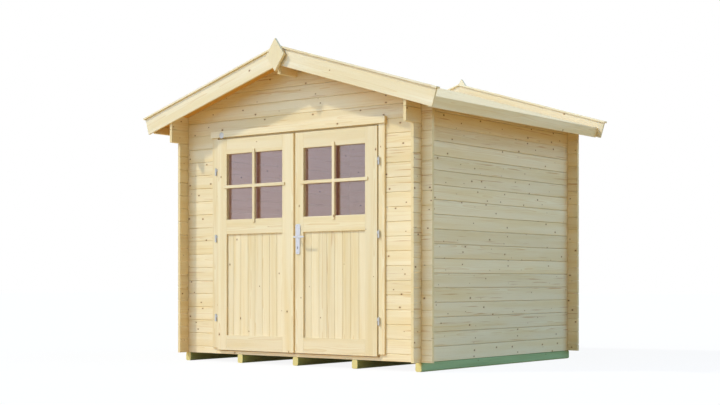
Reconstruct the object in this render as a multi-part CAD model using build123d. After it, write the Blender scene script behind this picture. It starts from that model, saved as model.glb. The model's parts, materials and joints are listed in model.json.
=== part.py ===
from build123d import *
import math
import os

# Garden shed of interlocking wall logs with a low gable roof and a glazed double door in the front gable.
# Millimetres. X runs along the front wall, Y from the front to the back, Z up.
# The origin lies on the ground under the middle of the walls' plan.

# Log walls
wall_width = 2524.0            # over the outer faces of the side walls
wall_depth = 2316.0            # over the outer faces of the front and back walls
log_thickness = 28.0
course_height = 114.0
long_course_count = 2          # top side-wall courses, which run out to carry the roof's overhang
over_door_course_share = 1.5   # of a course, from the joint over the doorway to the side walls' top
half_course_share = 0.5        # front and back courses lie half a course off the side ones
lap_share = 0.25               # share of a course's height cut away above and below at a crossing
log_overhang = 100.0           # log ends past the crossing wall's outer face
log_bevel = 5.0                # bevel along each long edge of a log
notch_clearance = 0.4          # play of one log in the notch of another

# Base and floor
joist_count = 5
joist_width = 56.0
joist_height = 72.0
joist_edge_chamfer = 9.0
floor_thickness = 18.0
floor_gap = 4.0                # around the floor, along the walls

# Roof
roof_pitch = 17.0
roof_board_thickness = 18.0
roof_seat_clearance = 0.2
eave_overhang = 209.0          # roof boards past the side walls' outer faces
eave_board_thickness = 18.0
eave_board_height = 87.0
front_overhang = 199.0         # roof boards past the front wall's outer face
back_overhang = 124.0
barge_thickness = 18.0
barge_past_eave = 44.0         # along the slope, past the eave boards
barge_above_roof = 59.0
barge_below_roof = 79.0
strip_thickness = 15.0
strip_width = 47.0
strip_proud = 15.0             # the cover strip's drip edge past the barge board's face
strip_past_end = 9.0
finial_height = 269.0
finial_width = 192.0
finial_thickness = 24.0
finial_below_strip = 83.5      # the finial's middle, below the cover strips' peak
purlin_width = 36.0
purlin_height = 137.0          # below the roof boards, at the ridge

# Doorway
least_head_height = 30.0       # of the frame's head, which fills up to the next joint between logs
sill_height = 28.0
frame_depth = 60.0             # door frame, from the wall's outer face inwards
jamb_thickness = 24.0
stop_projection = 18.0
stop_clearance = 5.0           # behind a closed leaf
casing_width = 60.0
casing_thickness = 16.0
casing_foot = 50.0             # above the walls' foot
header_height = 56.0
header_thickness = 30.0
header_past_casing = 10.0      # at each end
header_reveal = 10.0           # of the frame's head, left showing under the header casing

# Door leaves
leaves_width = 1716.0          # over both closed leaves
leaf_height = 1801.0
leaf_thickness = 40.0
leaf_proud = 25.0              # past the wall's outer face
leaf_edge_gap = 6.0            # to the jamb, the sill and the head
left_leaf_past_middle = 1.0    # the left leaf's meeting edge
meeting_recess_width = 21.0    # between the faces of the two leaves
tongue_length = 13.0           # of the left leaf's rebated edge, into that recess
tongue_recess = 16.0           # behind the leaf's face
right_hinge_stile_width = 118.0
right_lock_stile_width = 85.0
left_hinge_stile_width = 108.0
left_lock_stile_width = 122.0
top_rail_height = 129.0
middle_rail_height = 125.0
bottom_rail_height = 128.0
panel_height = 860.0           # daylight height of the boarded panel
panel_thickness = 12.0
panel_recess = 14.0            # behind the leaf's face
glass_thickness = 4.0
glass_recess = 30.0
groove_depth = 10.0            # of the frame's grooves for panel and glass
groove_clearance = 0.2

# Hinges: barrels in two halves, each on a flat stem that meets the wood
hinge_from_leaf_end = 275.0    # outer hinges' middles, from the leaf's foot and top
middle_hinge_share = 0.53      # of the leaf's height
hinge_barrel_radius = 8.0
hinge_half_height = 28.0
hinge_half_gap = 0.3
hinge_stem_thickness = 5.0
hinge_stem_height = 20.0
hinge_from_jamb = 11.0         # barrel's axis, past the jamb's inner face
hinge_from_leaf_face = 2.0     # barrel's axis, in front of the leaf's face

# Lever handle on the right leaf
plate_top_width = 50.0
plate_foot_width = 40.0
plate_height = 246.0
plate_thickness = 8.0
plate_corner_radius = 14.0
plate_from_leaf_edge = 31.0    # plate's middle, from the leaf's meeting edge
plate_middle = 965.0           # above the walls' foot
lever_above_middle = 17.0
lever_radius = 8.0
lever_reach = 56.0             # grip's axis, in front of the plate
lever_grip = 112.0
lever_gap = 1.0                # between the lever's neck and the plate
spindle_width = 8.0            # square bar
spindle_clearance = 0.5
keyhole_width = 8.0
keyhole_height = 22.0
keyhole_below_middle = 70.0

# Places worked out from the sizes above
half_width = wall_width / 2
front_face = -wall_depth / 2
back_face = wall_depth / 2
foot = joist_height
leaf_foot = foot + sill_height + leaf_edge_gap
leaf_top = leaf_foot + leaf_height
head_under = leaf_top + leaf_edge_gap
least_head_courses = (head_under + least_head_height - foot) / course_height
door_head_courses = math.ceil(least_head_courses - half_course_share) + half_course_share
door_head_level = foot + door_head_courses * course_height
side_courses = round(door_head_courses + over_door_course_share)
side_wall_top = foot + side_courses * course_height
long_courses_foot = side_wall_top - long_course_count * course_height
wall_reach_x = half_width + log_overhang
cut_overrun = log_thickness

slope_cos = math.cos(math.radians(roof_pitch))
slope_sin = math.sin(math.radians(roof_pitch))
slope_rise = slope_sin / slope_cos
roof_under_ridge = side_wall_top + (half_width - log_thickness / 2) * slope_rise
roof_ridge = roof_under_ridge + roof_board_thickness / slope_cos
eave_reach = (half_width + eave_overhang) / slope_cos
barge_reach = eave_reach + eave_board_thickness + barge_past_eave
roof_front = front_face - front_overhang
roof_back = back_face + back_overhang
barge_front = roof_front - barge_thickness
barge_back = roof_back + barge_thickness
strip_peak = roof_ridge + (barge_above_roof + strip_thickness) / slope_cos
finial_middle = strip_peak - finial_below_strip

leaf_outer_face = front_face - leaf_proud
leaf_inner_face = leaf_outer_face + leaf_thickness
right_meeting_edge = left_leaf_past_middle + meeting_recess_width
leaf_hinge_edge = leaves_width / 2
jamb_inner = leaf_hinge_edge + leaf_edge_gap
doorway_half = jamb_inner + jamb_thickness
frame_back = front_face + frame_depth
stop_front = leaf_inner_face + stop_clearance
stop_inner = jamb_inner - stop_projection
header_foot = head_under + header_reveal
casing_outer = jamb_inner + casing_width

panel_foot = leaf_foot + bottom_rail_height
panel_top = panel_foot + panel_height
glass_foot = panel_top + middle_rail_height
glass_top = leaf_top - top_rail_height
hinge_x = jamb_inner + hinge_from_jamb
hinge_y = leaf_outer_face - hinge_from_leaf_face
hinge_stem_margin = (hinge_half_height - hinge_stem_height) / 2
plate_x = right_meeting_edge + plate_from_leaf_edge
plate_z = foot + plate_middle
lever_z = plate_z + lever_above_middle
plate_outer_face = leaf_outer_face - plate_thickness


def block(x_range, y_range, z_range):
    """Box between two corners."""
    middle = [(low + high) / 2 for low, high in (x_range, y_range, z_range)]
    lengths = [high - low for low, high in (x_range, y_range, z_range)]
    return Pos(*middle) * Box(*lengths)


def prism_along_y(outline, y_low, y_high):
    """Outline of (x, z) points, drawn out from y_low to y_high."""
    edge = Polyline(*[(x, y_low, z) for x, z in outline], close=True)
    return extrude(make_face(edge), amount=y_high - y_low, dir=(0, 1, 0))


def prism_along_x(outline, x_low, x_high):
    """Outline of (y, z) points, drawn out from x_low to x_high."""
    edge = Polyline(*[(x_low, y, z) for y, z in outline], close=True)
    return extrude(make_face(edge), amount=x_high - x_low, dir=(1, 0, 0))


def cylinder_between(start, end, radius):
    """Round bar from one point to another."""
    axis = Vector(*end) - Vector(*start)
    base = Plane(origin=start, z_dir=axis)
    return extrude(base * Circle(radius), amount=axis.length)


def mirrored(shape):
    return mirror(shape, about=Plane.YZ)


# Log walls

def log_outline(face_low, face_high, low, high, joints, bevel_low, bevel_high):
    """Section across a stack of logs: two flat faces with a V-groove at every joint between courses."""
    def face_points(face, inwards):
        points = []
        if bevel_low:
            points += [(face + inwards, low), (face, low + log_bevel)]
        else:
            points += [(face, low)]
        for level in joints:
            points += [(face, level - log_bevel), (face + inwards, level), (face, level + log_bevel)]
        if bevel_high:
            points += [(face, high - log_bevel), (face + inwards, high)]
        else:
            points += [(face, high)]
        return points
    return face_points(face_low, log_bevel) + face_points(face_high, -log_bevel)[::-1]


def course_levels(low, high, offset_share):
    """Joints between courses that lie between two levels."""
    count = round((high - low) / course_height) + 1
    first = round((low - foot) / course_height - offset_share)
    levels = [foot + (first + k + offset_share) * course_height for k in range(count + 1)]
    return [level for level in levels if low + log_bevel < level < high - log_bevel]


def roof_envelope(y_low, y_high):
    """Space under the roof boards, wide enough for every wall log."""
    reach = wall_reach_x + log_overhang
    eave = roof_under_ridge - reach * slope_rise
    outline = [
        (-reach, 0),
        (reach, 0),
        (reach, eave - roof_seat_clearance),
        (0, roof_under_ridge - roof_seat_clearance),
        (-reach, eave - roof_seat_clearance),
    ]
    return prism_along_y(outline, y_low, y_high)


def crossing_notches(offset_share, x_middle, y_middle):
    """Notches at one corner for the webs of the logs that cross there."""
    notch_height = course_height * (1 - 2 * lap_share) + notch_clearance
    notch = Box(log_thickness + notch_clearance, log_thickness + notch_clearance, notch_height)
    levels = [foot + (k + offset_share) * course_height for k in range(side_courses + 1)]
    return [Pos(x_middle, y_middle, level) * notch for level in levels]


corner_x = half_width - log_thickness / 2
corner_y = wall_depth / 2 - log_thickness / 2


def side_logs(low, high, y_low, y_high, bevel_low, bevel_high):
    """Right-hand side wall logs between two levels, notched for the front and back logs."""
    joints = course_levels(low, min(high, side_wall_top), 0)
    outline = log_outline(half_width - log_thickness, half_width, low, high, joints, bevel_low, bevel_high)
    logs = prism_along_y(outline, y_low, y_high)
    for y_middle in (-corner_y, corner_y):
        logs -= crossing_notches(0, corner_x, y_middle)
    return logs


def gable_logs(face, low, high, x_low, x_high, bevel_low, bevel_high):
    """Front or back wall logs between two levels, notched for the side logs and cut to the roof."""
    joints = course_levels(low, high, half_course_share)
    outline = log_outline(face, face + log_thickness, low, high, joints, bevel_low, bevel_high)
    logs = prism_along_x(outline, x_low, x_high)
    for x_middle in (-corner_x, corner_x):
        if x_low < x_middle < x_high:
            logs -= crossing_notches(half_course_share, x_middle, face + log_thickness / 2)
    return logs & roof_envelope(face - cut_overrun, face + log_thickness + cut_overrun)


def purlin_slot(face):
    """Opening in a gable for the ridge purlin."""
    half_slot = (purlin_width + notch_clearance) / 2
    return block(
        (-half_slot, half_slot),
        (face - cut_overrun, face + log_thickness + cut_overrun),
        (roof_under_ridge - purlin_height - notch_clearance, roof_ridge),
    )


def side_walls():
    right_wall = side_logs(
        foot, long_courses_foot,
        front_face - log_overhang, back_face + log_overhang, False, True,
    )
    eave_logs = side_logs(
        long_courses_foot, side_wall_top + log_thickness * slope_rise,
        roof_front, roof_back, True, False,
    )
    eave_logs = eave_logs & roof_envelope(roof_front - cut_overrun, roof_back + cut_overrun)
    return {
        "right_wall": right_wall,
        "left_wall": mirrored(right_wall),
        "right_eave_logs": eave_logs,
        "left_eave_logs": mirrored(eave_logs),
    }


def end_walls():
    back_inner_face = back_face - log_thickness
    back_wall = gable_logs(back_inner_face, foot, roof_ridge, -wall_reach_x, wall_reach_x, False, False)
    beside_door = gable_logs(front_face, foot, door_head_level, doorway_half, wall_reach_x, False, True)
    front_gable = gable_logs(front_face, door_head_level, roof_ridge, -wall_reach_x, wall_reach_x, True, False)
    return {
        "back_wall": back_wall - purlin_slot(back_inner_face),
        "front_wall_right": beside_door,
        "front_wall_left": mirrored(beside_door),
        "front_gable": front_gable - purlin_slot(front_face),
    }


# Base

def base():
    joist = block((-joist_width / 2, joist_width / 2), (front_face, back_face), (0, joist_height))
    joist = chamfer(joist.edges().filter_by(Axis.Y), joist_edge_chamfer)
    step = (wall_width - joist_width) / (joist_count - 1)
    first = -(wall_width - joist_width) / 2
    joists = [Pos(first + k * step, 0, 0) * joist for k in range(joist_count)]
    inner_x = half_width - log_thickness - floor_gap
    inner_y = back_face - log_thickness - floor_gap
    floor = block((-inner_x, inner_x), (-inner_y, inner_y), (foot, foot + floor_thickness))
    frame_x = doorway_half + floor_gap
    floor -= block((-frame_x, frame_x), (front_face, frame_back + floor_gap), (foot, foot + floor_thickness))
    return {"base_joists": Compound(children=joists), "floor": floor}


# Roof

def slope_point(along, above):
    """Point of the right-hand slope: along it from the ridge, and above the roof boards' top."""
    return (along * slope_cos + above * slope_sin, roof_ridge - along * slope_sin + above * slope_cos)


def slope_board(below, above, reach, y_low, y_high):
    """Board of the right-hand slope, mitred at the ridge and cut square at the eave."""
    outline = [
        (0, roof_ridge + below / slope_cos),
        slope_point(reach, below),
        slope_point(reach, above),
        (0, roof_ridge + above / slope_cos),
    ]
    return prism_along_y(outline, y_low, y_high)


def finial(y_low, y_high):
    """Diamond-shaped board on the peak of a gable."""
    half_wide = finial_width / 2
    half_tall = finial_height / 2
    outline = [
        (-half_wide, finial_middle),
        (0, finial_middle - half_tall),
        (half_wide, finial_middle),
        (0, finial_middle + half_tall),
    ]
    return prism_along_y(outline, y_low, y_high)


def roof_covering():
    boards = slope_board(-roof_board_thickness, 0, eave_reach, roof_front, roof_back)
    eave_outline = [
        slope_point(eave_reach, 0),
        slope_point(eave_reach, -eave_board_height),
        slope_point(eave_reach + eave_board_thickness, -eave_board_height),
        slope_point(eave_reach + eave_board_thickness, 0),
    ]
    eave_board = prism_along_y(eave_outline, roof_front, roof_back)
    half_purlin = purlin_width / 2
    purlin_foot = roof_under_ridge - purlin_height
    purlin_outline = [
        (-half_purlin, purlin_foot),
        (half_purlin, purlin_foot),
        (half_purlin, roof_under_ridge - half_purlin * slope_rise - roof_seat_clearance),
        (0, roof_under_ridge - roof_seat_clearance),
        (-half_purlin, roof_under_ridge - half_purlin * slope_rise - roof_seat_clearance),
    ]
    return {
        "roof_boards_right": boards,
        "roof_boards_left": mirrored(boards),
        "eave_board_right": eave_board,
        "eave_board_left": mirrored(eave_board),
        "ridge_purlin": prism_along_y(purlin_outline, roof_front, roof_back),
    }


def gable_trim(side, board_y, strip_y, finial_y):
    """Barge boards, cover strips and the finial before them, of one gable."""
    barge = slope_board(-barge_below_roof, barge_above_roof, barge_reach, *board_y)
    strip_top = barge_above_roof + strip_thickness
    strip = slope_board(barge_above_roof, strip_top, barge_reach + strip_past_end, *strip_y)
    return {
        f"{side}_barge_board_right": barge,
        f"{side}_barge_board_left": mirrored(barge),
        f"{side}_cover_strip_right": strip,
        f"{side}_cover_strip_left": mirrored(strip),
        f"{side}_finial": finial(*finial_y),
    }


def roof():
    front_edge = barge_front - strip_proud
    back_edge = barge_back + strip_proud
    pieces = roof_covering()
    pieces |= gable_trim(
        "front",
        (barge_front, roof_front),
        (front_edge, front_edge + strip_width),
        (front_edge - finial_thickness, front_edge),
    )
    pieces |= gable_trim(
        "back",
        (roof_back, barge_back),
        (back_edge - strip_width, back_edge),
        (back_edge, back_edge + finial_thickness),
    )
    return pieces


# Hinges

def hinge_levels():
    """Middles of a leaf's hinges."""
    middle = leaf_foot + middle_hinge_share * leaf_height
    return [leaf_foot + hinge_from_leaf_end, middle, leaf_top - hinge_from_leaf_end]


def hinge_half(low, stem):
    """Half of a hinge's barrel, with the flat stem that joins it to the wood."""
    barrel_low = (hinge_x, hinge_y, low)
    barrel_high = (hinge_x, hinge_y, low + hinge_half_height - hinge_half_gap / 2)
    return cylinder_between(barrel_low, barrel_high, hinge_barrel_radius) + stem


def frame_half(level):
    """Lower half: its stem runs straight back to the casing."""
    low = level - hinge_half_height
    stem = block(
        (hinge_x - hinge_stem_thickness / 2, hinge_x + hinge_stem_thickness / 2),
        (hinge_y, front_face - casing_thickness),
        (low + hinge_stem_margin, low + hinge_stem_margin + hinge_stem_height),
    )
    return hinge_half(low, stem)


def leaf_half(level):
    """Upper half: its stem runs sideways to the leaf's edge."""
    low = level + hinge_half_gap / 2
    stem = block(
        (leaf_hinge_edge, hinge_x),
        (leaf_outer_face, leaf_outer_face + hinge_stem_thickness),
        (low + hinge_stem_margin, low + hinge_stem_margin + hinge_stem_height),
    )
    return hinge_half(low, stem)


# Door frame

def door_frame():
    sill = block((-doorway_half, doorway_half), (front_face, frame_back), (foot, foot + sill_height))
    jamb_levels = (foot + sill_height, head_under)
    jamb = block((jamb_inner, doorway_half), (front_face, frame_back), jamb_levels)
    jamb += block((stop_inner, jamb_inner), (stop_front, frame_back), jamb_levels)
    head = block((-doorway_half, doorway_half), (front_face, frame_back), (head_under, door_head_level))
    head_stop_levels = (head_under - stop_projection, head_under)
    head += block((-stop_inner, stop_inner), (stop_front, frame_back), head_stop_levels)
    casing_y = (front_face - casing_thickness, front_face)
    casing = block((jamb_inner, casing_outer), casing_y, (foot + casing_foot, header_foot))
    header_reach = casing_outer + header_past_casing
    header = block(
        (-header_reach, header_reach),
        (front_face - header_thickness, front_face),
        (header_foot, header_foot + header_height),
    )
    barrels = [frame_half(level) for level in hinge_levels()]
    return {
        "door_sill": sill,
        "jamb_right": jamb,
        "jamb_left": mirrored(jamb),
        "door_head": head,
        "casing_right": casing,
        "casing_left": mirrored(casing),
        "casing_head": header,
        "frame_hinge_barrels": Compound(children=barrels + [mirrored(barrel) for barrel in barrels]),
    }


# Door leaves

def grooved_infill(opening, levels, recess, thickness, clearance):
    """Panel or pane, with its edges in the grooves of the leaf's frame."""
    reach = groove_depth - groove_clearance + clearance
    return block(
        (opening[0] - reach, opening[1] + reach),
        (leaf_outer_face + recess - clearance, leaf_outer_face + recess + thickness + clearance),
        (levels[0] - reach, levels[1] + reach),
    )


def panel(opening, clearance):
    return grooved_infill(opening, (panel_foot, panel_top), panel_recess, panel_thickness, clearance)


def pane(opening, clearance):
    return grooved_infill(opening, (glass_foot, glass_top), glass_recess, glass_thickness, clearance)


def leaf(meeting_edge, lock_stile_width, hinge_stile_width):
    """Stiles, rails, panel, pane and hinge barrels of a leaf that hangs on the right."""
    opening = (meeting_edge + lock_stile_width, leaf_hinge_edge - hinge_stile_width)
    leaf_y = (leaf_outer_face, leaf_inner_face)
    leaf_z = (leaf_foot, leaf_top)
    grooves = [panel(opening, groove_clearance), pane(opening, groove_clearance)]
    rail_levels = ((leaf_foot, panel_foot), (panel_top, glass_foot), (glass_top, leaf_top))
    rails = [block(opening, leaf_y, levels) - grooves for levels in rail_levels]
    return {
        "lock_stile": block((meeting_edge, opening[0]), leaf_y, leaf_z) - grooves,
        "hinge_stile": block((opening[1], leaf_hinge_edge), leaf_y, leaf_z) - grooves,
        "rails": Compound(children=rails),
        "panel": panel(opening, 0),
        "glass": pane(opening, 0),
        "barrels": Compound(children=[leaf_half(level) for level in hinge_levels()]),
    }


def right_leaf():
    """Leaf with the lever handle."""
    pieces = leaf(right_meeting_edge, right_lock_stile_width, right_hinge_stile_width)
    pieces["lock_stile"] -= spindle_hole()
    return pieces


def left_leaf():
    """Leaf with a tongue that fills the recess between the leaves."""
    pieces = leaf(-left_leaf_past_middle, left_lock_stile_width, left_hinge_stile_width)
    pieces["lock_stile"] += block(
        (-left_leaf_past_middle - tongue_length, -left_leaf_past_middle),
        (leaf_outer_face + tongue_recess, leaf_inner_face),
        (leaf_foot, leaf_top),
    )
    return {name: mirrored(shape) for name, shape in pieces.items()}


def spindle_hole():
    start = (plate_x, plate_outer_face - cut_overrun, lever_z)
    end = (plate_x, leaf_inner_face + plate_thickness + cut_overrun, lever_z)
    return cylinder_between(start, end, spindle_width / math.sqrt(2) + spindle_clearance)


def handle_plate():
    """Long plate on the outer face of the right leaf, narrower at its foot, with a keyhole."""
    face = Plane(origin=(plate_x, leaf_outer_face, plate_z), x_dir=(1, 0, 0), z_dir=(0, -1, 0))
    half_height = plate_height / 2
    outline = Polyline(
        (-plate_foot_width / 2, -half_height),
        (plate_foot_width / 2, -half_height),
        (plate_top_width / 2, half_height),
        (-plate_top_width / 2, half_height),
        close=True,
    )
    rounded = fillet(make_face(outline).vertices(), plate_corner_radius)
    plate = extrude(face * rounded, plate_thickness)
    keyhole = face * Pos(0, -keyhole_below_middle, 0) * SlotOverall(keyhole_height, keyhole_width, rotation=90)
    return plate - extrude(keyhole, plate_thickness) - spindle_hole()


def lever_half():
    """Outer lever: neck and grip in one mitred bar, with half of the square spindle behind it."""
    neck_foot = (plate_x, plate_outer_face - lever_gap, lever_z)
    elbow = (plate_x, plate_outer_face - lever_reach, lever_z)
    grip_end = (plate_x + lever_grip, plate_outer_face - lever_reach, lever_z)
    section = Plane(origin=neck_foot, z_dir=(0, -1, 0)) * Circle(lever_radius)
    bar = sweep(section, path=Polyline(neck_foot, elbow, grip_end), transition=Transition.RIGHT)
    half_spindle = spindle_width / 2
    spindle = block(
        (plate_x - half_spindle, plate_x + half_spindle),
        (plate_outer_face - lever_gap, (leaf_outer_face + leaf_inner_face) / 2),
        (lever_z - half_spindle, lever_z + half_spindle),
    )
    return bar + spindle


def across_leaf(shape):
    """Copy of an outer fitting on the leaf's inner face."""
    return mirror(shape, about=Plane.XZ.offset(-(leaf_outer_face + leaf_inner_face) / 2))


def doors():
    nodes = {}
    for side, pieces in (("left", left_leaf()), ("right", right_leaf())):
        nodes[f"{side}_door_stiles"] = Compound(children=[pieces["hinge_stile"], pieces["lock_stile"]])
        nodes[f"{side}_door_rails"] = pieces["rails"]
        nodes[f"{side}_door_panel"] = pieces["panel"]
        nodes[f"{side}_door_glass"] = pieces["glass"]
        nodes[f"{side}_door_hinge_barrels"] = pieces["barrels"]
    plate = handle_plate()
    nodes["handle_plates"] = Compound(children=[plate, across_leaf(plate)])
    lever = lever_half()
    nodes["door_lever"] = lever + across_leaf(lever)
    return nodes


os.makedirs("parts", exist_ok=True)
shed = base() | side_walls() | end_walls() | roof() | door_frame() | doors()
for name, shape in shed.items():
    export_step(shape, f"parts/{name}.step")
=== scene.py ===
import json
import math
import random

import bmesh
import bpy
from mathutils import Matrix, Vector


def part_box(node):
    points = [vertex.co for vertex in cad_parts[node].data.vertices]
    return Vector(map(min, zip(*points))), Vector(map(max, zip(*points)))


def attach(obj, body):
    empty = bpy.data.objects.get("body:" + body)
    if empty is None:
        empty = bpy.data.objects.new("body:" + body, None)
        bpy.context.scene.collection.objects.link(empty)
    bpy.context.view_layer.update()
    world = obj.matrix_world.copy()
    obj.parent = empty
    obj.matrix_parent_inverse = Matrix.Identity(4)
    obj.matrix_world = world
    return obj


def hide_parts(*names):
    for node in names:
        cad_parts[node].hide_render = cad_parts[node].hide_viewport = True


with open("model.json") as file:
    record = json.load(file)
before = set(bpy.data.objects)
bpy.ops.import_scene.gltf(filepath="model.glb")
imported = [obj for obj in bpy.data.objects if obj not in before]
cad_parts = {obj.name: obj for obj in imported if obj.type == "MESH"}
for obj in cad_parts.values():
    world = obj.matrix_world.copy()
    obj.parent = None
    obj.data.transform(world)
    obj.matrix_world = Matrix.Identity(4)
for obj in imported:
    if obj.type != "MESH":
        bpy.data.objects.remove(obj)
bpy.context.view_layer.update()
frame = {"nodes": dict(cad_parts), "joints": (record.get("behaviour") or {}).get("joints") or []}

MM = 0.001
X = Vector((1, 0, 0))
Y = Vector((0, 1, 0))
Z = Vector((0, 0, 1))
WHITE = (1, 1, 1, 1)
SEED = 11
draw = random.Random(SEED)

# Camera, as fitted to the photograph
IMAGE_WIDTH_PX = 720
FOCAL_LENGTH_PX = 1311.25
HORIZON_BELOW_MIDDLE_PX = 79.38
SENSOR_WIDTH_MM = 36
CAMERA_PLACE = (7.0026, -9.3450, 0.6882)
CAMERA_TURN = 0.6583           # radians, from +Y towards -X
CAMERA_TILT = math.radians(90)   # from straight down to level

# Logs and boards that the frame's solids are cut into
COURSE = 114 * MM
FRONT_LOG_SEAM = 0.8 * MM
SIDE_LOG_SEAM = 1.8 * MM
LOG_EASE = 1.6 * MM
HALF_COURSE_SHARE = 0.5        # of a course, between the joints of crossing walls
LEAST_FOOT_LOG_SHARE = 0.25    # of a course: a thinner strip stays with the log above it
LEAST_TOP_LOG_SHARE = 0.125    # of a course: a thinner strip stays with the log below it
ROOF_BOARD = 96 * MM
FLOOR_BOARD = 112 * MM
BOARD_SEAM = 0.6 * MM
ROOF_BOARD_EASE = 2.5 * MM
PANEL_BOARD_COUNT = 8
PANEL_BOARD_EASE = 2.0 * MM
TRIM_EASE = 1.5 * MM
JOIST_EASE = 1.0 * MM
ROOF_PITCH = math.radians(17)

# Glazing bars
BAR_WIDTH = 27 * MM
BAR_PROUD = 9 * MM
BAR_OVERLAP = 30 * MM
BAR_EASE = 3 * MM
BAR_INSET = 16 * MM            # behind the leaf's face
BAR_LAP = 0.5 * MM             # the horizontal bar's faces, inside the vertical one's
PANE_IN_GROOVE = 9.8 * MM      # the pane's edge, inside the leaf

# Hinges, handle and disc
HINGE_CAP_HEIGHT = 5 * MM
HINGE_CAP_RADIUS = 8.6 * MM
LEVER_RADIUS = 8 * MM
LEVER_BEND = 16 * MM
LEVER_BEND_STEPS = 8
LEVER_GRIP_FLATNESS_SHARE = 0.72
# Of the grip's length, and of the lever's radius there
LEVER_GRIP_SHARES = ((0.2, 1.0), (0.6, 1.0), (0.9, 0.98), (0.96, 0.9), (0.99, 0.7), (1.0, 0.35))
LEVER_COLLAR_RADIUS = 12 * MM
LEVER_COLLAR_HEIGHT = 7 * MM
LEVER_COLLAR_CLEARANCE = 0.6 * MM
PLATE_EASE = 1.8 * MM
SCREW_RADIUS = 4 * MM
SCREW_HEIGHT = 1.2 * MM
SCREW_FROM_PLATE_END = 14 * MM
KEYHOLE_FILL_RADIUS = 12 * MM
LOCK_HEIGHT = 6 * MM
KEYHOLE_BELOW_MIDDLE = 70 * MM
DISC_RADIUS = 26 * MM
DISC_HEIGHT = 3 * MM
DISC_FROM_MIDDLE = 806 * MM
DISC_BELOW_HEADER_MIDDLE = 8 * MM
DOME_SHARES = (0, 0.35, 0.65, 0.88, 0.98)   # of a dome's height, at its rings
ROUND_STEPS = 40

# Mesh work
WELD = 0.01 * MM
FLAT_ANGLE = math.radians(0.5)
EDGE_ANGLE = math.radians(50)
END_GRAIN_SHARE = 0.7          # of a face's normal that points along the grain
# Faces that point down take the wood's painted shade.
SHADED_UNDERSIDE_SHARE = 0.7          # of a face's normal that points down
ROUND_PROFILE_SHARE = 0.5      # of a bevel's profile, where it is a round
SMOOTH_CORNERS = 4             # of the metal faces that are shaded smooth

# Where a board was sawn from its trunk
TRUNK_LENGTH = 60.0            # range of a board's place along the grain
PITH_BESIDE_SHARE = 0.6        # of the board's width
PITH_BEHIND = (30 * MM, 85 * MM)   # to either side of the board's middle

# Curve of a display's values
DISPLAY_TOP = 255
DISPLAY_STRAIGHT_END = 0.04045
DISPLAY_STRAIGHT_SLOPE = 12.92
DISPLAY_OFFSET = 0.055
DISPLAY_POWER = 2.4


def linear(value):
    """Linear level of one eight-bit value of a display."""
    level = value / DISPLAY_TOP
    if level <= DISPLAY_STRAIGHT_END:
        return level / DISPLAY_STRAIGHT_SLOPE
    return ((level + DISPLAY_OFFSET) / (1 + DISPLAY_OFFSET)) ** DISPLAY_POWER


def colour(red, green, blue):
    """Linear colour from the eight-bit values of a display."""
    return (linear(red), linear(green), linear(blue), 1)


# Shader graphs

def feed(tree, socket, value):
    """Links a socket to another one, or sets it to a plain value."""
    if isinstance(value, bpy.types.NodeSocket):
        tree.links.new(value, socket)
    else:
        socket.default_value = value


class Shader:
    """One material's node tree. Its methods return sockets, so that steps read like sums."""

    def __init__(self, name):
        self.material = bpy.data.materials.new(name)
        self.material.use_nodes = True
        self.tree = self.material.node_tree
        self.surface = self.tree.nodes["Principled BSDF"]

    def node(self, kind, inputs, **settings):
        """Adds a node with its settings and inputs."""
        made = self.tree.nodes.new(kind)
        for key, value in settings.items():
            setattr(made, key, value)
        for key, value in inputs.items():
            feed(self.tree, made.inputs[key], value)
        return made

    def finish(self, **inputs):
        """Feeds the surface's sockets, with _ for a space in their names."""
        for key, value in inputs.items():
            feed(self.tree, self.surface.inputs[key.replace("_", " ")], value)
        return self.material

    def attribute(self, name):
        return self.node("ShaderNodeAttribute", {}, attribute_name=name)

    def math(self, operation, *values):
        return self.node("ShaderNodeMath", dict(enumerate(values)), operation=operation).outputs[0]

    def vector(self, operation, *values):
        return self.node("ShaderNodeVectorMath", dict(enumerate(values)), operation=operation)

    def stretch(self, place, *factors):
        return self.vector("MULTIPLY", place, factors).outputs[0]

    def parts(self, place):
        return self.node("ShaderNodeSeparateXYZ", {"Vector": place}).outputs

    def noise(self, place, detail):
        inputs = {"Vector": place, "Scale": 1, "Detail": detail}
        return self.node("ShaderNodeTexNoise", inputs).outputs[0]

    def ramp(self, value, start, end, low=0, high=1):
        """Smooth step from low at start to high at end."""
        inputs = {"Value": value, "From Min": start, "From Max": end, "To Min": low, "To Max": high}
        return self.node("ShaderNodeMapRange", inputs, interpolation_type="SMOOTHSTEP").outputs[0]

    def blend(self, share, first, second, kind="MIX"):
        """Mixes two colours, which are inputs 6 and 7 and output 2 of the mix node."""
        inputs = {0: share, 6: first, 7: second}
        return self.node("ShaderNodeMix", inputs, data_type="RGBA", blend_type=kind).outputs[2]

    def bump(self, height, distance):
        inputs = {"Height": height, "Distance": distance, "Strength": 1}
        return self.node("ShaderNodeBump", inputs).outputs[0]

    def object_place(self):
        return self.node("ShaderNodeTexCoord", {}).outputs["Object"]

    def field(self, place, waves):
        """Noise of so many waves a metre along each axis, and so much detail."""
        *stretch, detail = waves
        return self.noise(self.stretch(place, *stretch), detail)

    def share(self, value, share):
        return self.math("MULTIPLY", value, share)


# Wood: rings round a pith, fibre streaks, knots and resin, in the place of each board in its trunk

RING_WIDTH = 3.4 * MM
RING_WANDER = 16 * MM
KNOT_SPACING = 0.34
KNOT_ROW = 70 * MM
KNOT_RADII = (1.8 * MM, 4.8 * MM)
KNOT_FLATNESS_SHARE = 0.7      # of a knot's length along the grain, across it
KNOT_EDGE_SHARES = (1.15, 0.85)   # of a knot's radius, from clear wood to knot
KNOT_HALO_SHARES = (3.2, 0.8)     # of a knot's radius, from clear wood to the darkest around it
LATE_WOOD_POWER = 3            # how late in a ring its dark wood starts
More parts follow.
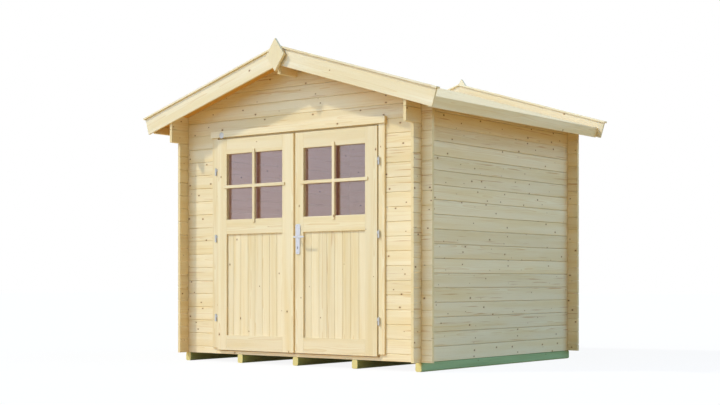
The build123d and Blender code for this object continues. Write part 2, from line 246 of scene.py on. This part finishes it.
# Waves a metre along, across and through a board, and the noise's detail
WANDER_WAVES = (1.3, 11, 11, 2)
TONE_WAVES = (0.9, 16, 16, 3)
FIBRE_WAVES = (5, 230, 230, 3)
STREAK_WAVES = (2.2, 75, 75, 2)
# Levels of those noises at which a tone starts and is full
NOISE_MIDDLE = 0.5
TONE_LEVELS = (0.35, 0.7)
FIBRE_LEVELS = (0.55, 0.8)
STREAK_LEVELS = (0.62, 0.72)
# How much of each tone covers the wood below it
LATE_TONE_SHARE = 0.42
FIBRE_TONE_SHARE = 0.3
RESIN_TONE_SHARE = 0.55
HALO_TONE_SHARE = 0.5
KNOT_TONE_SHARE = 0.95
END_TONE_SHARE = 0.75
BOARD_SHADE_SHARES = (0.93, 1.0)   # of the tones, from the darkest board to the palest
# Relief of the planed surface
GRAIN_RELIEF = 0.15 * MM
RING_RELIEF_SHARE = 0.5
FIBRE_RELIEF_SHARE = 0.8
WOOD_ROUGHNESS = 0.62
TREATED_ROUGHNESS = 0.75
WOOD_SPECULAR = 0.3


def knots(shader, along, across, knot_share):
    """Shares of knot and of the darker wood around it, from randomly placed cells along the board."""
    cell_size = (KNOT_SPACING, KNOT_ROW, 1)
    place = shader.node("ShaderNodeCombineXYZ", {0: along, 1: across}).outputs[0]
    cell_inputs = {"Vector": shader.vector("DIVIDE", place, cell_size).outputs[0], "Scale": 1}
    cell = shader.node("ShaderNodeTexVoronoi", cell_inputs, voronoi_dimensions="2D")
    middle = shader.stretch(cell.outputs["Position"], *cell_size)
    offset = shader.vector("SUBTRACT", place, middle).outputs[0]
    offset = shader.stretch(offset, KNOT_FLATNESS_SHARE, 1, 1)
    distance = shader.vector("LENGTH", offset).outputs["Value"]
    chance, size, _ = shader.node("ShaderNodeSeparateColor", {"Color": cell.outputs["Color"]}).outputs
    radius = shader.ramp(size, 0, 1, *KNOT_RADII)
    present = shader.math("LESS_THAN", chance, knot_share)
    reach = shader.math("DIVIDE", distance, radius)
    core = shader.share(shader.ramp(reach, *KNOT_EDGE_SHARES), present)
    halo = shader.share(shader.ramp(reach, *KNOT_HALO_SHARES), present)
    return core, halo


def late_wood(shader, place, halo):
    """Share of dark late wood: rings round the pith that wander and swerve past knots."""
    _, across, depth = shader.parts(place)
    wander = shader.math("SUBTRACT", shader.field(place, WANDER_WAVES), NOISE_MIDDLE)
    section = shader.node("ShaderNodeCombineXYZ", {0: across, 1: depth}).outputs[0]
    radius = shader.vector("LENGTH", section).outputs["Value"]
    radius = shader.math("ADD", radius, shader.share(wander, RING_WANDER))
    radius = shader.math("ADD", radius, shader.share(halo, RING_WIDTH))
    ring = shader.math("FRACT", shader.math("DIVIDE", radius, RING_WIDTH))
    return shader.math("POWER", ring, LATE_WOOD_POWER)


def wood(name, tones, knot_share, resin_share, rough=WOOD_ROUGHNESS):
    """Planed softwood in pale, warm, late, resin, knot and end tones, and a painted shade: a warm,
    darker tone multiplied onto faces that point down.
    """
    shader = Shader(name)
    place = shader.attribute("grain").outputs["Vector"]
    board = shader.attribute("board").outputs["Fac"]
    end = shader.attribute("end_grain").outputs["Fac"]
    along, across, _ = shader.parts(place)
    core, halo = knots(shader, along, across, knot_share)
    late = late_wood(shader, place, halo)
    tone = shader.field(place, TONE_WAVES)
    fibre = shader.field(place, FIBRE_WAVES)
    streak = shader.ramp(shader.field(place, STREAK_WAVES), *STREAK_LEVELS)
    resin = shader.share(streak, shader.math("LESS_THAN", board, resin_share))

    base = shader.blend(shader.ramp(tone, *TONE_LEVELS), tones["pale"], tones["warm"])
    for share, tone_name in (
        (shader.share(late, LATE_TONE_SHARE), "late"),
        (shader.ramp(fibre, *FIBRE_LEVELS, 0, FIBRE_TONE_SHARE), "late"),
        (shader.share(resin, RESIN_TONE_SHARE), "resin"),
        (shader.share(halo, HALO_TONE_SHARE), "resin"),
        (shader.share(core, KNOT_TONE_SHARE), "knot"),
        (shader.share(end, END_TONE_SHARE), "end"),
    ):
        base = shader.blend(share, base, tones[tone_name])
    shade = shader.ramp(board, 0, 1, *BOARD_SHADE_SHARES)
    shade = shader.node("ShaderNodeCombineColor", {0: shade, 1: shade, 2: shade}).outputs[0]
    base = shader.blend(1.0, base, shade, "MULTIPLY")
    # Painted shade: faces that point down are multiplied by a warm, darker tone, for the shade beneath
    # the roof.
    if "under" in tones:
        underside = shader.attribute("underside").outputs["Fac"]
        base = shader.blend(underside, base, tones["under"], "MULTIPLY")

    rings = shader.share(late, RING_RELIEF_SHARE)
    height = shader.math("SUBTRACT", rings, shader.share(fibre, FIBRE_RELIEF_SHARE))
    relief = shader.bump(height, GRAIN_RELIEF)
    return shader.finish(
        Base_Color=base, Roughness=rough, Specular_IOR_Level=WOOD_SPECULAR, Normal=relief
    )


PINE = {
    "pale": colour(246, 228, 190),
    "warm": colour(240, 217, 169),
    "late": colour(222, 180, 112),
    "resin": colour(196, 136, 70),
    "knot": colour(70, 42, 20),
    "end": colour(234, 208, 154),
}
ROOF_PINE = PINE | {
    "pale": colour(251, 230, 190),
    "warm": colour(247, 221, 174),
    # painted shade, multiplied onto faces that point down: warm and darker, for the shade beneath the
    # roof's overhang
    "under": (0.82, 0.55, 0.2, 1),
}
TRIM_PINE = PINE | {"pale": colour(247, 232, 200), "warm": colour(241, 222, 181)}
TREATED_PINE = {
    "pale": colour(166, 190, 138),
    "warm": colour(150, 170, 116),
    "late": colour(122, 134, 84),
    "resin": colour(130, 108, 58),
    "knot": colour(62, 56, 26),
    "end": colour(248, 222, 146),
}


# Metal, the keyhole's painted shade and panes: waves a metre along X, Y and Z and the noise's detail,
# then levels and tints

METAL_WAVES = (260, 260, 60, 3)
METAL_CLOUD_LEVELS = (0.3, 0.75)
METAL_CLOUD_SHARE = 0.25
METAL_CLOUD_TINT = colour(172, 176, 182)
METAL_ROUGHNESS_LEVELS = (0.3, 0.7)
METAL_ROUGHNESS_SPREAD = 0.15
KEYHOLE_SHADE_WAVES = (300, 300, 300, 2)
KEYHOLE_SHADE_TINTS = (colour(40, 40, 42), colour(70, 70, 74))
RECESS_ROUGHNESS = 0.6
PANE_WAVES = (3, 3, 2, 2)
# Painted light on the panes: their tint shifts with height and is browner at the foot.
PANE_PAINTED_LIGHT_HEIGHTS = (1.3, 1.8)   # above the ground, from the foot's tint to the top's
PANE_SWAY = 0.2                # how far the noise lifts a place between those heights
PANE_TINTS_AND_PAINTED_LIGHT = (colour(255, 238, 244), colour(252, 239, 255))
PANE_ROUGHNESS = 0.02
PANE_IOR = 1.25
FILM_ROUGHNESS = 0.16
FILM_IOR = 2.2


def metal(name, tint, rough):
    """Zinc or satin metal with a faint cloudy finish."""
    shader = Shader(name)
    cloud = shader.field(shader.object_place(), METAL_WAVES)
    cover = shader.ramp(cloud, *METAL_CLOUD_LEVELS, 0, METAL_CLOUD_SHARE)
    base = shader.blend(cover, tint, METAL_CLOUD_TINT)
    finish = shader.ramp(cloud, *METAL_ROUGHNESS_LEVELS, rough, rough + METAL_ROUGHNESS_SPREAD)
    return shader.finish(Base_Color=base, Metallic=1.0, Roughness=finish)


def painted_keyhole_shade():
    """Painted shade inside the keyhole: dark grey, mottled by noise."""
    shader = Shader("keyhole_shade")
    shade_noise = shader.field(shader.object_place(), KEYHOLE_SHADE_WAVES)
    return shader.finish(Base_Color=shader.blend(shade_noise, *KEYHOLE_SHADE_TINTS), Roughness=RECESS_ROUGHNESS)


def tinted_glass():
    """Faintly mauve pane beneath a hazy film, with painted light that makes it a little browner towards
    its foot.
    """
    shader = Shader("tinted_glass")
    place = shader.object_place()
    sway = shader.share(shader.field(place, PANE_WAVES), PANE_SWAY)
    level = shader.math("ADD", shader.parts(place)["Z"], sway)
    base = shader.blend(shader.ramp(level, *PANE_PAINTED_LIGHT_HEIGHTS), *PANE_TINTS_AND_PAINTED_LIGHT)
    return shader.finish(
        Base_Color=base, Roughness=PANE_ROUGHNESS, Transmission_Weight=1.0, IOR=PANE_IOR,
        Coat_Weight=1.0, Coat_Roughness=FILM_ROUGHNESS, Coat_IOR=FILM_IOR,
    )


log_wood = wood("log_wood", PINE, knot_share=0.75, resin_share=0.7)
joinery_wood = wood("joinery_wood", PINE, knot_share=0.3, resin_share=0.1)
trim_wood = wood("trim_wood", TRIM_PINE, knot_share=0.3, resin_share=0.15)
inner_wood = wood("inner_wood", ROOF_PINE, knot_share=0.5, resin_share=0.3)
treated_wood = wood(
    "treated_wood", TREATED_PINE, knot_share=0.4, resin_share=0.3, rough=TREATED_ROUGHNESS
)
zinc_steel = metal("zinc_steel", colour(214, 217, 220), rough=0.5)
handle_metal = metal("handle_metal", colour(232, 235, 243), rough=0.42)
keyhole_shade = painted_keyhole_shade()
glazing = tinted_glass()


# Mesh helpers

def frame_solid(node):
    """Welded copy of a frame solid's mesh."""
    source = frame["nodes"][node].data
    solid = bmesh.new()
    corners = [solid.verts.new(vertex.co) for vertex in source.vertices]
    for polygon in source.polygons:
        solid.faces.new([corners[index] for index in polygon.vertices])
    bmesh.ops.remove_doubles(solid, verts=solid.verts, dist=WELD)
    return solid


def cut_off(solid, axis, level, keep_above):
    """Cuts a solid across an axis, keeps one side and closes the cut."""
    geometry = solid.verts[:] + solid.edges[:] + solid.faces[:]
    normal = axis if keep_above else -axis
    bmesh.ops.bisect_plane(
        solid, geom=geometry, dist=WELD, plane_co=axis * level, plane_no=normal, clear_inner=True
    )
    open_edges = [edge for edge in solid.edges if edge.is_boundary]
    bmesh.ops.holes_fill(solid, edges=open_edges, sides=0)


def slices(node, axis, levels, seam):
    """Pieces of a frame solid between levels along an axis, with a seam between neighbours."""
    bounds = [None] + list(levels) + [None]
    for low, high in zip(bounds, bounds[1:]):
        solid = frame_solid(node)
        if low is not None:
            cut_off(solid, axis, low + seam / 2, True)
        if high is not None:
            cut_off(solid, axis, high - seam / 2, False)
        yield solid


def islands(solid):
    """Vertices of each separate solid in a numbered mesh, in their order."""
    seen = set()
    for start in solid.verts:
        if start in seen:
            continue
        found = {start}
        edge_of_search = [start]
        while edge_of_search:
            vertex = edge_of_search.pop()
            for edge in vertex.link_edges:
                other = edge.other_vert(vertex)
                if other not in found:
                    found.add(other)
                    edge_of_search.append(other)
        seen |= found
        yield sorted(found, key=lambda vertex: vertex.index)


def ease(solid, width, steps=2):
    """Makes flat faces whole and eases the sharp outer edges."""
    bmesh.ops.dissolve_limit(solid, angle_limit=FLAT_ANGLE, verts=solid.verts, edges=solid.edges)
    bmesh.ops.recalc_face_normals(solid, faces=solid.faces)
    sharp = [
        edge for edge in solid.edges
        if edge.is_manifold and edge.is_convex and edge.calc_face_angle(0) > EDGE_ANGLE
    ]
    bmesh.ops.bevel(
        solid, geom=sharp, offset=width, offset_type="OFFSET", segments=steps,
        profile=ROUND_PROFILE_SHARE, affect="EDGES", clamp_overlap=True,
    )


class Timber:
    """Boards gathered into one piece, each with the place of its wood in the trunk it was sawn from."""

    def __init__(self):
        self.points = []
        self.faces = []
        self.grain = []
        self.board = []
        self.ends = []
        self.undersides = []

    def add(self, solid, along, depth):
        """Adds every separate solid of a mesh as a board with its grain along one axis."""
        across = along.cross(depth)
        for corners in islands(solid):
            self.add_board(solid, corners, along, across, depth)

    def add_board(self, solid, corners, along, across, depth):
        """Adds one board, with its place in a trunk drawn at random."""
        spans = [[vertex.co.dot(axis) for vertex in corners] for axis in (across, depth)]
        middle = [(min(span) + max(span)) / 2 for span in spans]
        width = max(spans[0]) - min(spans[0])
        shift = draw.uniform(0, TRUNK_LENGTH)
        pith_beside = middle[0] + draw.uniform(-PITH_BESIDE_SHARE, PITH_BESIDE_SHARE) * width
        pith_behind = middle[1] + draw.choice((-1, 1)) * draw.uniform(*PITH_BEHIND)
        tint = draw.random()
        number = {vertex: len(self.points) + count for count, vertex in enumerate(corners)}
        for vertex in corners:
            self.points.append(vertex.co.copy())
            run = vertex.co.dot(along) + shift
            beside = vertex.co.dot(across) - pith_beside
            self.grain.append((run, beside, vertex.co.dot(depth) - pith_behind))
            self.board.append(tint)
        for face in solid.faces:
            if face.verts[0] in number:
                self.faces.append([number[vertex] for vertex in face.verts])
                self.ends.append(float(abs(face.normal.dot(along)) > END_GRAIN_SHARE))
                self.undersides.append(float(-face.normal.z > SHADED_UNDERSIDE_SHARE))

    def piece(self, name, material, slot, body, *stands_for):
        """Makes the gathered boards one piece, with their wood as attributes of its mesh."""
        mesh = bpy.data.meshes.new(name)
        mesh.from_pydata(self.points, [], self.faces)
        grain = mesh.attributes.new("grain", "FLOAT_VECTOR", "POINT")
        grain.data.foreach_set("vector", [value for place in self.grain for value in place])
        mesh.attributes.new("board", "FLOAT", "POINT").data.foreach_set("value", self.board)
        mesh.attributes.new("end_grain", "FLOAT", "FACE").data.foreach_set("value", self.ends)
        mesh.attributes.new("underside", "FLOAT", "FACE").data.foreach_set("value", self.undersides)
        place_piece(name, mesh, material, slot, body, *stands_for)


def add_to_scene(name, data):
    """Puts an object with its data in the scene."""
    made = bpy.data.objects.new(name, data)
    bpy.context.scene.collection.objects.link(made)
    return made


def place_piece(name, mesh, material, slot, body, *stands_for):
    """Puts a finished mesh on its body, in place of the frame nodes that it stands for."""
    mesh.materials.append(material)
    piece = add_to_scene(name, mesh)
    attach(piece, body)
    if stands_for:
        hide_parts(*stands_for)


def numbered(solid):
    """The same solid, with its vertices counted and its normals worked out."""
    solid.verts.index_update()
    solid.normal_update()
    return solid


# Log walls

wall_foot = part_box("left_wall")[0].z


def log_wall(node, along, depth, offset_share, seam):
    """Cuts a wall into its logs at the joints between courses."""
    low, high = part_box(node)
    first = math.floor((low.z - wall_foot) / COURSE - offset_share)
    last = math.ceil((high.z - wall_foot) / COURSE)
    levels = [wall_foot + (count + offset_share) * COURSE for count in range(first, last + 1)]
    lowest = low.z + COURSE * LEAST_FOOT_LOG_SHARE
    highest = high.z - COURSE * LEAST_TOP_LOG_SHARE
    levels = [level for level in levels if lowest < level < highest]
    logs = Timber()
    for log in slices(node, Z, levels, seam):
        ease(log, LOG_EASE, steps=1)
        logs.add(numbered(log), along, depth)
    logs.piece(f"{node}_logs", log_wood, "log_wood", "shed", node)


for node in ("left_wall", "right_wall", "left_eave_logs", "right_eave_logs"):
    log_wall(node, Y, X, 0, SIDE_LOG_SEAM)
for node in ("back_wall", "front_wall_left", "front_wall_right", "front_gable"):
    log_wall(node, X, Y, HALF_COURSE_SHARE, FRONT_LOG_SEAM)


# Boarded surfaces

def boarded(node, name, axis, width, along, depth, width_ease, material, slot, body):
    """Cuts a slab into boards of about one width along an axis."""
    low, high = [corner.dot(axis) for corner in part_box(node)]
    count = round((high - low) / width)
    levels = [low + (high - low) * number / count for number in range(1, count)]
    boards = Timber()
    for board in slices(node, axis, levels, BOARD_SEAM):
        ease(board, width_ease, steps=1)
        boards.add(numbered(board), along, depth)
    boards.piece(name, material, slot, body, node)


slope_right = Vector((math.cos(ROOF_PITCH), 0, -math.sin(ROOF_PITCH)))
slope_left = Vector((math.cos(ROOF_PITCH), 0, math.sin(ROOF_PITCH)))
for side, slope in (("left", slope_left), ("right", slope_right)):
    boarded(
        f"roof_boards_{side}", f"roof_boarding_{side}", Y, ROOF_BOARD, slope, slope.cross(Y),
        ROOF_BOARD_EASE, inner_wood, "inner_wood", "shed",
    )
    panel = f"{side}_door_panel"
    panel_low, panel_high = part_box(panel)
    boarded(
        panel, f"{panel}_boards", X, (panel_high.x - panel_low.x) / PANEL_BOARD_COUNT, Z, Y,
        PANEL_BOARD_EASE, joinery_wood, "joinery_wood", f"{side}_door",
    )
boarded("floor", "floor_boarding", X, FLOOR_BOARD, Y, Z, BOARD_SEAM, inner_wood, "inner_wood", "shed")


# Planed joinery and trim

def eased(node, along, depth, width, material, slot, body):
    """Copy of a frame solid with eased edges and its own grain."""
    timber = Timber()
    solid = frame_solid(node)
    ease(solid, width)
    timber.add(numbered(solid), along, depth)
    timber.piece(f"{node}_planed", material, slot, body, node)


for side, slope in (("left", slope_left), ("right", slope_right)):
    for end in ("front", "back"):
        eased(f"{end}_barge_board_{side}", slope, Y, TRIM_EASE, trim_wood, "trim_wood", "shed")
        eased(f"{end}_cover_strip_{side}", slope, Y, TRIM_EASE, trim_wood, "trim_wood", "shed")
    eased(f"eave_board_{side}", Y, slope, TRIM_EASE, joinery_wood, "trim_wood", "shed")
    eased(f"jamb_{side}", Z, X, TRIM_EASE, joinery_wood, "joinery_wood", "shed")
    eased(f"casing_{side}", Z, Y, TRIM_EASE, joinery_wood, "joinery_wood", "shed")
    eased(f"{side}_door_stiles", Z, Y, TRIM_EASE, joinery_wood, "joinery_wood", f"{side}_door")
    eased(f"{side}_door_rails", X, Y, TRIM_EASE, joinery_wood, "joinery_wood", f"{side}_door")
for end in ("front", "back"):
    eased(f"{end}_finial", Z, Y, TRIM_EASE, trim_wood, "trim_wood", "shed")
for node in ("casing_head", "door_head", "door_sill"):
    eased(node, X, Y, TRIM_EASE, joinery_wood, "joinery_wood", "shed")
eased("ridge_purlin", Y, X, TRIM_EASE, log_wood, "log_wood", "shed")
eased("base_joists", Y, X, JOIST_EASE, treated_wood, "treated_wood", "shed")


# Glazing bars

def prism(outline, width, along, middle):
    """Outline of (along, y) points, drawn out to a width across them and centred on a point."""
    across = along.cross(Y)
    solid = bmesh.new()
    low, high = [
        [solid.verts.new(middle + along * run + Y * y + across * side) for run, y in outline]
        for side in (-width / 2, width / 2)
    ]
    solid.faces.new(low)
    solid.faces.new(high)
    for count in range(len(outline)):
        following = (count + 1) % len(outline)
        solid.faces.new((low[count], low[following], high[following], high[count]))
    bmesh.ops.recalc_face_normals(solid, faces=solid.faces)
    return solid


def glazing_bar(timber, middle, along, half_opening, front, leaf_face, back):
    """Bar before a pane, with ends that lap onto the leaf's face."""
    half_length = half_opening + BAR_OVERLAP
    outline = [
        (-half_length, front),
        (half_length, front),
        (half_length, leaf_face),
        (half_opening, leaf_face),
        (half_opening, back),
        (-half_opening, back),
        (-half_opening, leaf_face),
        (-half_length, leaf_face),
    ]
    bar = prism(outline, BAR_WIDTH, along, middle)
    ease(bar, BAR_EASE)
    timber.add(numbered(bar), along, Y)


def glazing_bars(side):
    """Cross of two bars before a leaf's pane."""
    pane_low, pane_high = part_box(f"{side}_door_glass")
    leaf_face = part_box(f"{side}_door_stiles")[0].y
    middle = (pane_low + pane_high) / 2
    middle.y = 0
    half_opening = (pane_high - pane_low) / 2 - Vector((PANE_IN_GROOVE,) * 3)
    front = leaf_face - BAR_PROUD
    back = leaf_face + BAR_INSET
    bars = Timber()
    glazing_bar(bars, middle, Z, half_opening.z, front, leaf_face, back)
    glazing_bar(bars, middle, X, half_opening.x, front + BAR_LAP, leaf_face, back - BAR_LAP)
    bars.piece(f"{side}_door_glazing_bars", joinery_wood, "joinery_wood", f"{side}_door")


def finish_node(node, material):
    """Gives a frame solid that stays its own material."""
    frame["nodes"][node].data.materials.clear()
    frame["nodes"][node].data.materials.append(material)


for side in ("left", "right"):
    glazing_bars(side)
    finish_node(f"{side}_door_glass", glazing)


# Metal fittings

def ring(solid, middle, first, second, radii):
    """Loop of points round a middle in the plane of two directions."""
    loop = []
    for step in range(ROUND_STEPS):
        turn = 2 * math.pi * step / ROUND_STEPS
        offset = first * (math.cos(turn) * radii[0]) + second * (math.sin(turn) * radii[1])
        loop.append(solid.verts.new(middle + offset))
    return loop


def skin(solid, rings):
    """Closes a run of rings into a solid with flat ends."""
    for low, high in zip(rings, rings[1:]):
        for step in range(ROUND_STEPS):
            following = (step + 1) % ROUND_STEPS
            solid.faces.new((low[step], low[following], high[following], high[step]))
    solid.faces.new(rings[0])
    solid.faces.new(rings[-1])


def turned(solid, foot, axis, profile):
    """Adds a turned form: (radius, height) pairs round an axis."""
    first = axis.orthogonal().normalized()
    second = axis.cross(first)
    rings = [
        ring(solid, foot + axis * height, first, second, (radius, radius)) for radius, height in profile
    ]
    skin(solid, rings)


def dome(radius, height):
    """Profile of a low round cap."""
    crown = [(radius * math.sqrt(1 - share ** 2), height * share) for share in DOME_SHARES]
    return [(radius, 0)] + crown


def metal_piece(name, solid, material, slot, body, *stands_for):
    """Makes a solid one piece, smooth on its four-cornered faces."""
    bmesh.ops.recalc_face_normals(solid, faces=solid.faces)
    for face in solid.faces:
        face.smooth = len(face.verts) == SMOOTH_CORNERS
    mesh = bpy.data.meshes.new(name)
    solid.to_mesh(mesh)
    place_piece(name, mesh, material, slot, body, *stands_for)


def hinge_caps(node, body, axis):
    """Low domed caps on the outer ends of a hinge node's barrels."""
    solid = bmesh.new()
    for barrel in islands(numbered(frame_solid(node))):
        corners = [vertex.co for vertex in barrel]
        end = max(corners, key=lambda corner: corner.dot(axis)).dot(axis)
        rim = [corner for corner in corners if end - corner.dot(axis) < WELD]
        middle = sum(rim, Vector()) / len(rim)
        turned(solid, middle, axis, dome(HINGE_CAP_RADIUS, HINGE_CAP_HEIGHT))
    metal_piece(f"{node}_caps", solid, zinc_steel, "zinc_steel", body)


for node, body, axis in (
    ("frame_hinge_barrels", "shed", -Z),
    ("left_door_hinge_barrels", "left_door", Z),
    ("right_door_hinge_barrels", "right_door", Z),
):
    finish_node(node, zinc_steel)
    hinge_caps(node, body, axis)

lever_axis = Vector(next(joint["pos_m"] for joint in frame["joints"] if joint["name"] == "lever_turn"))
plates_low, plates_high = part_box("handle_plates")
lever_low, lever_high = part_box("door_lever")
plate_middle = (plates_low + plates_high) / 2


def handle_plate_pieces():
    """Long plates with eased edges, their screws, and the lock below the lever, as a dark disc of
    painted shade in its keyhole.
    """
    plates = frame_solid("handle_plates")
    ease(plates, PLATE_EASE)
    metal_piece(
        "handle_plates_eased", plates, handle_metal, "handle_metal", "right_door", "handle_plates"
    )
    screws = bmesh.new()
    locks = bmesh.new()
    screw_profile = dome(SCREW_RADIUS, SCREW_HEIGHT)
    lock_profile = [(KEYHOLE_FILL_RADIUS, 0), (KEYHOLE_FILL_RADIUS, LOCK_HEIGHT / 2)]
    for face, outwards in ((plates_low.y, -Y), (plates_high.y, Y)):
        for level in (plates_low.z + SCREW_FROM_PLATE_END, plates_high.z - SCREW_FROM_PLATE_END):
            turned(screws, Vector((plate_middle.x, face, level)), outwards, screw_profile)
        lock_place = Vector((plate_middle.x, face, plate_middle.z - KEYHOLE_BELOW_MIDDLE))
        # the lock: a dark disc of painted shade inside the keyhole
        turned(locks, lock_place - outwards * LOCK_HEIGHT, outwards, lock_profile)
    metal_piece("handle_screws", screws, zinc_steel, "zinc_steel", "right_door")
    metal_piece("handle_locks", locks, keyhole_shade, "handle_metal", "right_door")


def lever_rings(solid, face, outwards, grip_depth):
    """Neck, bend and flattened grip of one side's lever, as rings along its line."""
    start = Vector((lever_axis.x, face, lever_axis.z)) + outwards * LEVER_COLLAR_CLEARANCE
    neck_length = grip_depth - LEVER_BEND
    places = [(start, outwards, 1.0), (start + outwards * neck_length, outwards, 1.0)]
    bend_middle = start + outwards * neck_length + X * LEVER_BEND
    for step in range(1, LEVER_BEND_STEPS + 1):
        turn = math.pi / 2 * step / LEVER_BEND_STEPS
        offset = outwards * math.sin(turn) - X * math.cos(turn)
        heading = outwards * math.cos(turn) + X * math.sin(turn)
        places.append((bend_middle + offset * LEVER_BEND, heading, 1.0))
    grip_start = bend_middle + outwards * LEVER_BEND
    grip_length = lever_high.x - grip_start.x
    for run_share, size_share in LEVER_GRIP_SHARES:
        places.append((grip_start + X * grip_length * run_share, X, size_share))
    rings = []
    for middle, heading, size in places:
        side = heading.cross(Z)
        flat = LEVER_GRIP_FLATNESS_SHARE if heading == X else 1.0
        rings.append(ring(solid, middle, side, Z, (LEVER_RADIUS * size * flat, LEVER_RADIUS * size)))
    skin(solid, rings)


def lever_piece():
    """Levers on both faces of the leaf, with their collars."""
    solid = bmesh.new()
    for face, outwards, reach in (
        (plates_low.y, -Y, plates_low.y - lever_low.y),
        (plates_high.y, Y, lever_high.y - plates_high.y),
    ):
        lever_rings(solid, face, outwards, reach - LEVER_RADIUS - LEVER_COLLAR_CLEARANCE)
        foot = Vector((lever_axis.x, face, lever_axis.z)) + outwards * LEVER_COLLAR_CLEARANCE
        turned(solid, foot, outwards, dome(LEVER_COLLAR_RADIUS, LEVER_COLLAR_HEIGHT))
    metal_piece("door_lever_formed", solid, handle_metal, "handle_metal", "lever", "door_lever")


def header_disc():
    """Small bare disc on the header casing."""
    low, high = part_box("casing_head")
    place = Vector((-DISC_FROM_MIDDLE, low.y, (low.z + high.z) / 2 - DISC_BELOW_HEADER_MIDDLE))
    solid = bmesh.new()
    turned(solid, place, -Y, dome(DISC_RADIUS, DISC_HEIGHT))
    metal_piece("header_disc", solid, zinc_steel, "zinc_steel", "shed")


handle_plate_pieces()
lever_piece()
header_disc()


# Stage: floor, light and camera

FLOOR_SIZE = 120.0
FLOOR_DROP = 0.5 * MM
FLOOR_GLOW_SHARE = 0.9         # of the white that shows; the rest takes light and shadow
FLOOR_BOUNCE = (0.68, 0.47, 0.21, 1)   # colour of the light that it throws back up
SKY = (0.89, 1.0, 1.0, 1)
SKY_STRENGTH = 0.3
# Name, direction that the light comes from, strength, width in degrees, colour
LIGHTS = (
    ("key", (-1.0, -1.0, 1.37), 1.92, 3, (1.0, 0.98, 0.84)),
    ("front_fill", (-0.4, -1.0, 0.4), 2.24, 60, (0.43, 0.64, 1.0)),
    ("right_fill", (1.0, 0.45, 0.75), 1.85, 50, (0.26, 0.55, 1.0)),
)
ROOM_LIGHT_PLACE = (0.3, -0.2, 1.4)
ROOM_LIGHT_RADIUS = 0.5
ROOM_LIGHT_POWER = 6.1
ROOM_LIGHT_TINT = (0.82, 0.6, 1.0)


def seen_directly(tree):
    """1 for rays from the camera, from gloss and through glass, else 0."""
    path = tree.nodes.new("ShaderNodeLightPath")
    total = path.outputs["Is Camera Ray"]
    for ray in ("Is Glossy Ray", "Is Transmission Ray"):
        larger = tree.nodes.new("ShaderNodeMath")
        larger.operation = "MAXIMUM"
        tree.links.new(total, larger.inputs[0])
        tree.links.new(path.outputs[ray], larger.inputs[1])
        total = larger.outputs[0]
    return total


def mix_shaders(tree, share, first, second):
    """Mixes two shader nodes by a share."""
    mixed = tree.nodes.new("ShaderNodeMixShader")
    feed(tree, mixed.inputs[0], share)
    tree.links.new(first.outputs[0], mixed.inputs[1])
    tree.links.new(second.outputs[0], mixed.inputs[2])
    return mixed


def pale_floor():
    """Floor that looks white, keeps the shadow and throws a warm light back up."""
    mesh = bpy.data.meshes.new("pale_floor")
    half = FLOOR_SIZE / 2
    corners = [(-half, -half), (half, -half), (half, half), (-half, half)]
    mesh.from_pydata([(x, y, -FLOOR_DROP) for x, y in corners], [], [(0, 1, 2, 3)])
    material = bpy.data.materials.new("pale_floor")
    material.use_nodes = True
    tree = material.node_tree
    tree.nodes.clear()
    bounce = tree.nodes.new("ShaderNodeBsdfDiffuse")
    bounce.inputs["Color"].default_value = FLOOR_BOUNCE
    lit = tree.nodes.new("ShaderNodeBsdfDiffuse")
    lit.inputs["Color"].default_value = WHITE
    glow = tree.nodes.new("ShaderNodeEmission")
    shown = mix_shaders(tree, FLOOR_GLOW_SHARE, lit, glow)
    mixed = mix_shaders(tree, seen_directly(tree), bounce, shown)
    output = tree.nodes.new("ShaderNodeOutputMaterial")
    tree.links.new(mixed.outputs[0], output.inputs["Surface"])
    mesh.materials.append(material)
    floor = add_to_scene("pale_floor", mesh)


def soft_world():
    """Soft light from all sides, before a white background."""
    world = bpy.data.worlds.new("soft_world")
    world.use_nodes = True
    tree = world.node_tree
    tree.nodes.clear()
    fill = tree.nodes.new("ShaderNodeBackground")
    fill.inputs["Color"].default_value = SKY
    fill.inputs["Strength"].default_value = SKY_STRENGTH
    white = tree.nodes.new("ShaderNodeBackground")
    white.inputs["Color"].default_value = WHITE
    mixed = mix_shaders(tree, seen_directly(tree), fill, white)
    output = tree.nodes.new("ShaderNodeOutputWorld")
    tree.links.new(mixed.outputs[0], output.inputs["Surface"])
    bpy.context.scene.world = world


def lights():
    """Sun and fills, which gloss and glass don't mirror."""
    for name, side, strength, width, tint in LIGHTS:
        lamp = bpy.data.lights.new(name, "SUN")
        lamp.energy = strength
        lamp.angle = math.radians(width)
        lamp.color = tint
        holder = add_to_scene(name, lamp)
        holder.rotation_euler = Vector(side).to_track_quat("Z", "Y").to_euler()
        holder.visible_glossy = False
        holder.visible_transmission = False


def room_light():
    """Soft lamp in the closed room, so that the panes show it dimly."""
    lamp = bpy.data.lights.new("room_light", "POINT")
    lamp.energy = ROOM_LIGHT_POWER
    lamp.shadow_soft_size = ROOM_LIGHT_RADIUS
    lamp.color = ROOM_LIGHT_TINT
    holder = add_to_scene("room_light", lamp)
    holder.location = ROOM_LIGHT_PLACE
    holder.visible_camera = False
    holder.visible_glossy = False
    holder.visible_transmission = False


def camera():
    """Level camera, shifted up to the photograph's frame."""
    lens = bpy.data.cameras.new("camera")
    lens.sensor_width = SENSOR_WIDTH_MM
    lens.lens = FOCAL_LENGTH_PX / IMAGE_WIDTH_PX * SENSOR_WIDTH_MM
    lens.shift_y = HORIZON_BELOW_MIDDLE_PX / IMAGE_WIDTH_PX
    lens.clip_end = FLOOR_SIZE
    holder = add_to_scene("camera", lens)
    holder.location = CAMERA_PLACE
    holder.rotation_euler = (CAMERA_TILT, 0, CAMERA_TURN)
    bpy.context.scene.camera = holder


pale_floor()
soft_world()
lights()
room_light()
camera()
bpy.context.scene.view_settings.view_transform = "Standard"
